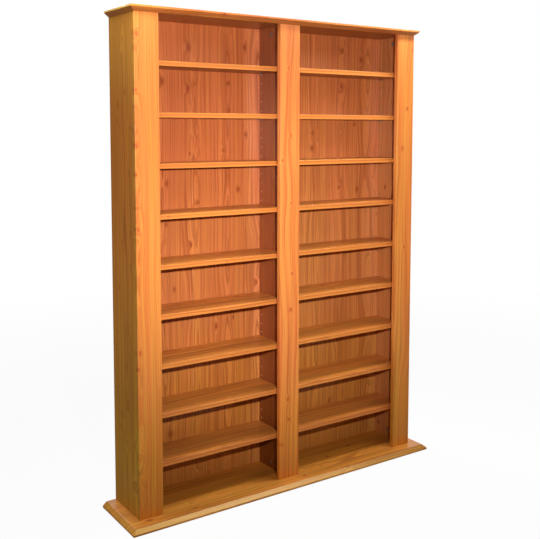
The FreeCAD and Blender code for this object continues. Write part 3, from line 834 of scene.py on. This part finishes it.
def lock_shape():
    """A lock in its own axes, x to the joint and z into the board. Four faces fill the disc between
    the cross and the ring, loops go down into the cross, the arrow and over the rim, and the grip
    is an oblong section swept round by the angle t from one side of its mouth to the other."""
    turn = np.arange(lock_sectors) * 2 * math.pi / lock_sectors
    radius, depth = lock_rim[:, :1], lock_rim[:, 1:]
    rim = np.stack([radius * np.cos(turn), radius * np.sin(turn), depth + 0 * turn], axis=2)
    quarter = np.arange(4)[:, None] * math.pi / 2
    cross = []
    for arm, half, drop in cross_levels:
        x, y = np.array([arm, arm, half, half]), np.array([0, half, half, arm])
        cos, sin = np.cos(quarter), np.sin(quarter)
        bent = [x * cos - y * sin, x * sin + y * cos]
        cross.append(np.stack(bent + [drop + 0 * bent[0]], axis=2).reshape(-1, 3))
    pocket = np.stack([np.column_stack([arrow, np.full(4, drop)]) for drop in (0, arrow_depth)])

    faces, rings = bands(len(rim), lock_sectors)
    more, star = bands(len(cross), 16, rings.size)
    faces += [face[::-1] for face in more] + [star[-1, ::-1].tolist(), rings[-1].tolist()]
    more, point = bands(2, 4, rings.size + star.size)
    faces += more + [point[1].tolist()]
    edge, arms = rings[0].tolist() + [rings[0, 0]], star[0].tolist() + [star[0, 0]]
    tail, upper, tip, lower = point[0].tolist()
    span = lock_sectors // 4
    for side in range(4):
        out = [tail, upper, tip] if side == 0 else []
        back = [tip, lower, tail] if side == 3 else []
        arc = edge[side * span:(side + 1) * span + 1]
        loop = [arms[side * 4]] + out + arc + back + arms[side * 4 + 1:side * 4 + 5][::-1]
        faces.append(loop[::-1])

    mouth = np.arcsin(grip_mouth / np.array([grip_outer, grip_inner, grip_inner, grip_outer]))
    share = np.linspace(0, 1, 41)[:, None]
    angle = mouth + share * 2 * (math.pi - mouth)
    across = np.array([grip_outer, grip_inner, grip_inner, grip_outer])
    drop = np.array([depth[-1, 0], depth[-1, 0], grip_end, grip_end])
    grip = np.stack([across * np.cos(angle), across * np.sin(angle), drop + 0 * angle], axis=2)
    more, section = bands(len(grip), 4, rings.size + star.size + point.size)
    faces += more + [section[0, ::-1].tolist(), section[-1].tolist()]
    parts = [rim.reshape(-1, 3), np.concatenate(cross), pocket.reshape(-1, 3), grip.reshape(-1, 3)]
    return np.concatenate(parts) / 1000, faces


ends = [(x, 0.036, z, (inward, 0, 0), (0, 0, toward))
        for x, inward in ((-0.556, -1), (-0.008, 1), (0.556, 1))
        for z, toward in ((0.042, -1), (1.570, 1))]
shelf_ends = [(x, 0.039, 0.798, (0, 0, 1), (toward, 0, 0))
              for x, toward in ((-0.532, -1), (-0.032, 1), (0.032, -1), (0.532, 1))]
lock_places = np.array([row[:3] for row in ends + shelf_ends])
inward, toward = [np.array([row[column] for row in ends + shelf_ends], float) for column in (3, 4)]
lock_turns = np.stack([toward, np.cross(inward, toward), inward], axis=2)
zinc = finish("cast_zinc", cast_zinc)
points, faces = copied(*lock_shape(), lock_places, lock_turns)
locks = as_piece("cam_locks_cast", points, faces, zinc, smooth_below=30)
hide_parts("cam_locks")

# ---- Floor and light ----------------------------------------------------------------------
# A pale floor under a white surround. The key lamp stands at the left of the camera in two beams,
# a narrow and a wide one, and throws the dark lines under the shelves and beside the stiles.

floor_half = 30.0
floor_pale, floor_dark, floor_seen = (0.42, 0.39, 0.29, 1), (0.38, 0.35, 0.25, 1), (0.92, 0.92, 0.90, 1)
white_near, near, far = 0.95, 1.2, 4.0
mirror_way = (0.70, 0.71, 0.0)


def shows_white(rays, behind):
    """Shows to the camera, and in mirror images towards the rear right."""
    kinds = ("Camera", "Glossy", "Transmission")
    seen, mirrored, clear = [Tint(rays.outputs["Is " + kind + " Ray"]) for kind in kinds]
    return seen, most(seen, most(mirrored, clear) * fade(behind, 0.55, 0.90))


floor_mesh = bpy.data.meshes.new("studio_floor")
corners = np.array([[-1, -1, 0], [1, -1, 0], [1, 1, 0], [-1, 1, 0]]) * floor_half
floor_mesh.from_pydata(corners.tolist(), [], [(0, 1, 2, 3)])
floor = bpy.data.objects.new("studio_floor", floor_mesh)
bpy.context.scene.collection.objects.link(floor)

paint = bpy.data.materials.new("pale_floor")
paint.use_nodes = True
tree = paint.node_tree
plain = tree.nodes["Principled BSDF"]
plain.inputs["Roughness"].default_value = 0.9
plain.inputs["Specular IOR Level"].default_value = 0.0
place = Tint(tree.nodes.new("ShaderNodeTexCoord").outputs["Object"])
tone = stained(floor_pale, floor_dark, clouds(place, (3, 3, 3), (0, 0, 0), 3))
across = distance_of(place)
rays = tree.nodes.new("ShaderNodeLightPath")
seen, shows = shows_white(rays, reach(place, mirror_way) / across)
tree.links.new(stained(tone, floor_seen, seen).socket, plain.inputs["Base Color"])
glow = tree.nodes.new("ShaderNodeEmission")
share = white_near + fade(across, near, far) * (1 - white_near)
coats = {0: shows * share, 1: Tint(plain.outputs[0]), 2: Tint(glow.outputs[0])}
cover = shows.node("MixShader", {}, coats)
tree.links.new(cover.socket, tree.nodes["Material Output"].inputs["Surface"])
floor_mesh.materials.append(paint)

world = bpy.data.worlds.new("white_surround")
bpy.context.scene.world = world
world.use_nodes = True
tree = world.node_tree
sky = tree.nodes["Background"]
way = Tint(tree.nodes.new("ShaderNodeTexCoord").outputs["Generated"])
_, shows = shows_white(tree.nodes.new("ShaderNodeLightPath"), reach(way, mirror_way))
fill_level = 0.03
fill_colour, plain_white = (1.0, 0.92, 0.70, 1), (1, 1, 1, 1)
tree.links.new((shows * (1 - fill_level) + fill_level).socket, sky.inputs["Strength"])
tree.links.new(stained(fill_colour, plain_white, shows).socket, sky.inputs["Color"])


def lamp(name, place, aim, size, power, width=None, beam=None):
    """A soft lamp that points at a place: round, or a strip with a width, or round with a beam
    that fades out towards its edge."""
    light = bpy.data.lights.new(name, "SPOT" if beam else "AREA")
    light.energy = power
    if beam:
        light.shadow_soft_size, light.spot_size, light.spot_blend = size / 2, math.radians(beam), 1.0
    else:
        light.shape = "RECTANGLE" if width else "DISK"
        light.size, light.size_y = width or size, size
    holder = bpy.data.objects.new(name, light)
    holder.visible_camera = False
    bpy.context.scene.collection.objects.link(holder)
    start, end = np.array(place), np.array(aim)
    back = (start - end) / np.linalg.norm(start - end)
    side = np.cross((0, 0, 1), back)
    side = side / np.linalg.norm(side)
    turn = np.column_stack([side, np.cross(back, side), back])
    holder.matrix_world = Matrix.Translation(start.tolist()) @ Matrix(turn.tolist()).to_4x4()


key_place = (-1.02, -1.93, 1.293)
lamp("key_lamp", key_place, (-0.047, -0.180, 0.824), 0.05, 82, beam=40)
lamp("wide_key_lamp", key_place, (-0.455, -0.180, 1.300), 0.05, 158, beam=80)
lamp("front_lamp", (1.25, -1.16, 2.3), (0.35, 0.0, 0.9), 0.7, 15, width=1.4)
lamp("top_left_lamp", (-0.80, -0.28, 1.93), (-0.70, -0.10, 1.2), 0.10, 5.4, width=0.5)
lamp("top_right_lamp", (0.75, -0.32, 2.147), (0.75, -0.10, 1.2), 0.10, 16, width=1.0)
lamp("left_lamp", (-2.3, 0.5, 1.7), (-0.57, 0.04, 0.35), 0.6, 36, beam=54)
lamp("rear_lamp", (-0.3, 3.2, 2.9), (0.1, 0.12, 1.0), 1.0, 450, beam=42)
lamp("right_lamp", (3.2, 1.0, 1.8), (0.6, 0.0, 1.0), 0.8, 150, beam=42)

# ---- Camera -------------------------------------------------------------------------------
# The view of the photograph, worked out from the sizes of the shelf.

image_width, image_height = 540, 539
focal_pixels, centre_pixel = 813.108, (276.57, 195.97)
camera_place = (-1.60562, -2.33441, 1.24064)
yaw, pitch, roll = 0.59953, -0.08126, 0.00144
view = bpy.data.cameras.new("camera")
view.sensor_width = 36.0
view.lens = focal_pixels * view.sensor_width / image_width
view.shift_x = (image_width / 2 - centre_pixel[0]) / image_width
view.shift_y = (centre_pixel[1] - image_height / 2) / image_width
view.clip_start, view.clip_end = 0.05, 100.0
camera = bpy.data.objects.new("camera", view)
bpy.context.scene.collection.objects.link(camera)
turn = Matrix.Rotation(-yaw, 4, "Z") @ Matrix.Rotation(math.pi / 2 + pitch, 4, "X")
turn = turn @ Matrix.Rotation(roll, 4, "Z")
camera.matrix_world = Matrix.Translation(camera_place) @ turn
bpy.context.scene.camera = camera
bpy.context.scene.view_settings.view_transform = "Standard"

bpy.context.view_layer.update()
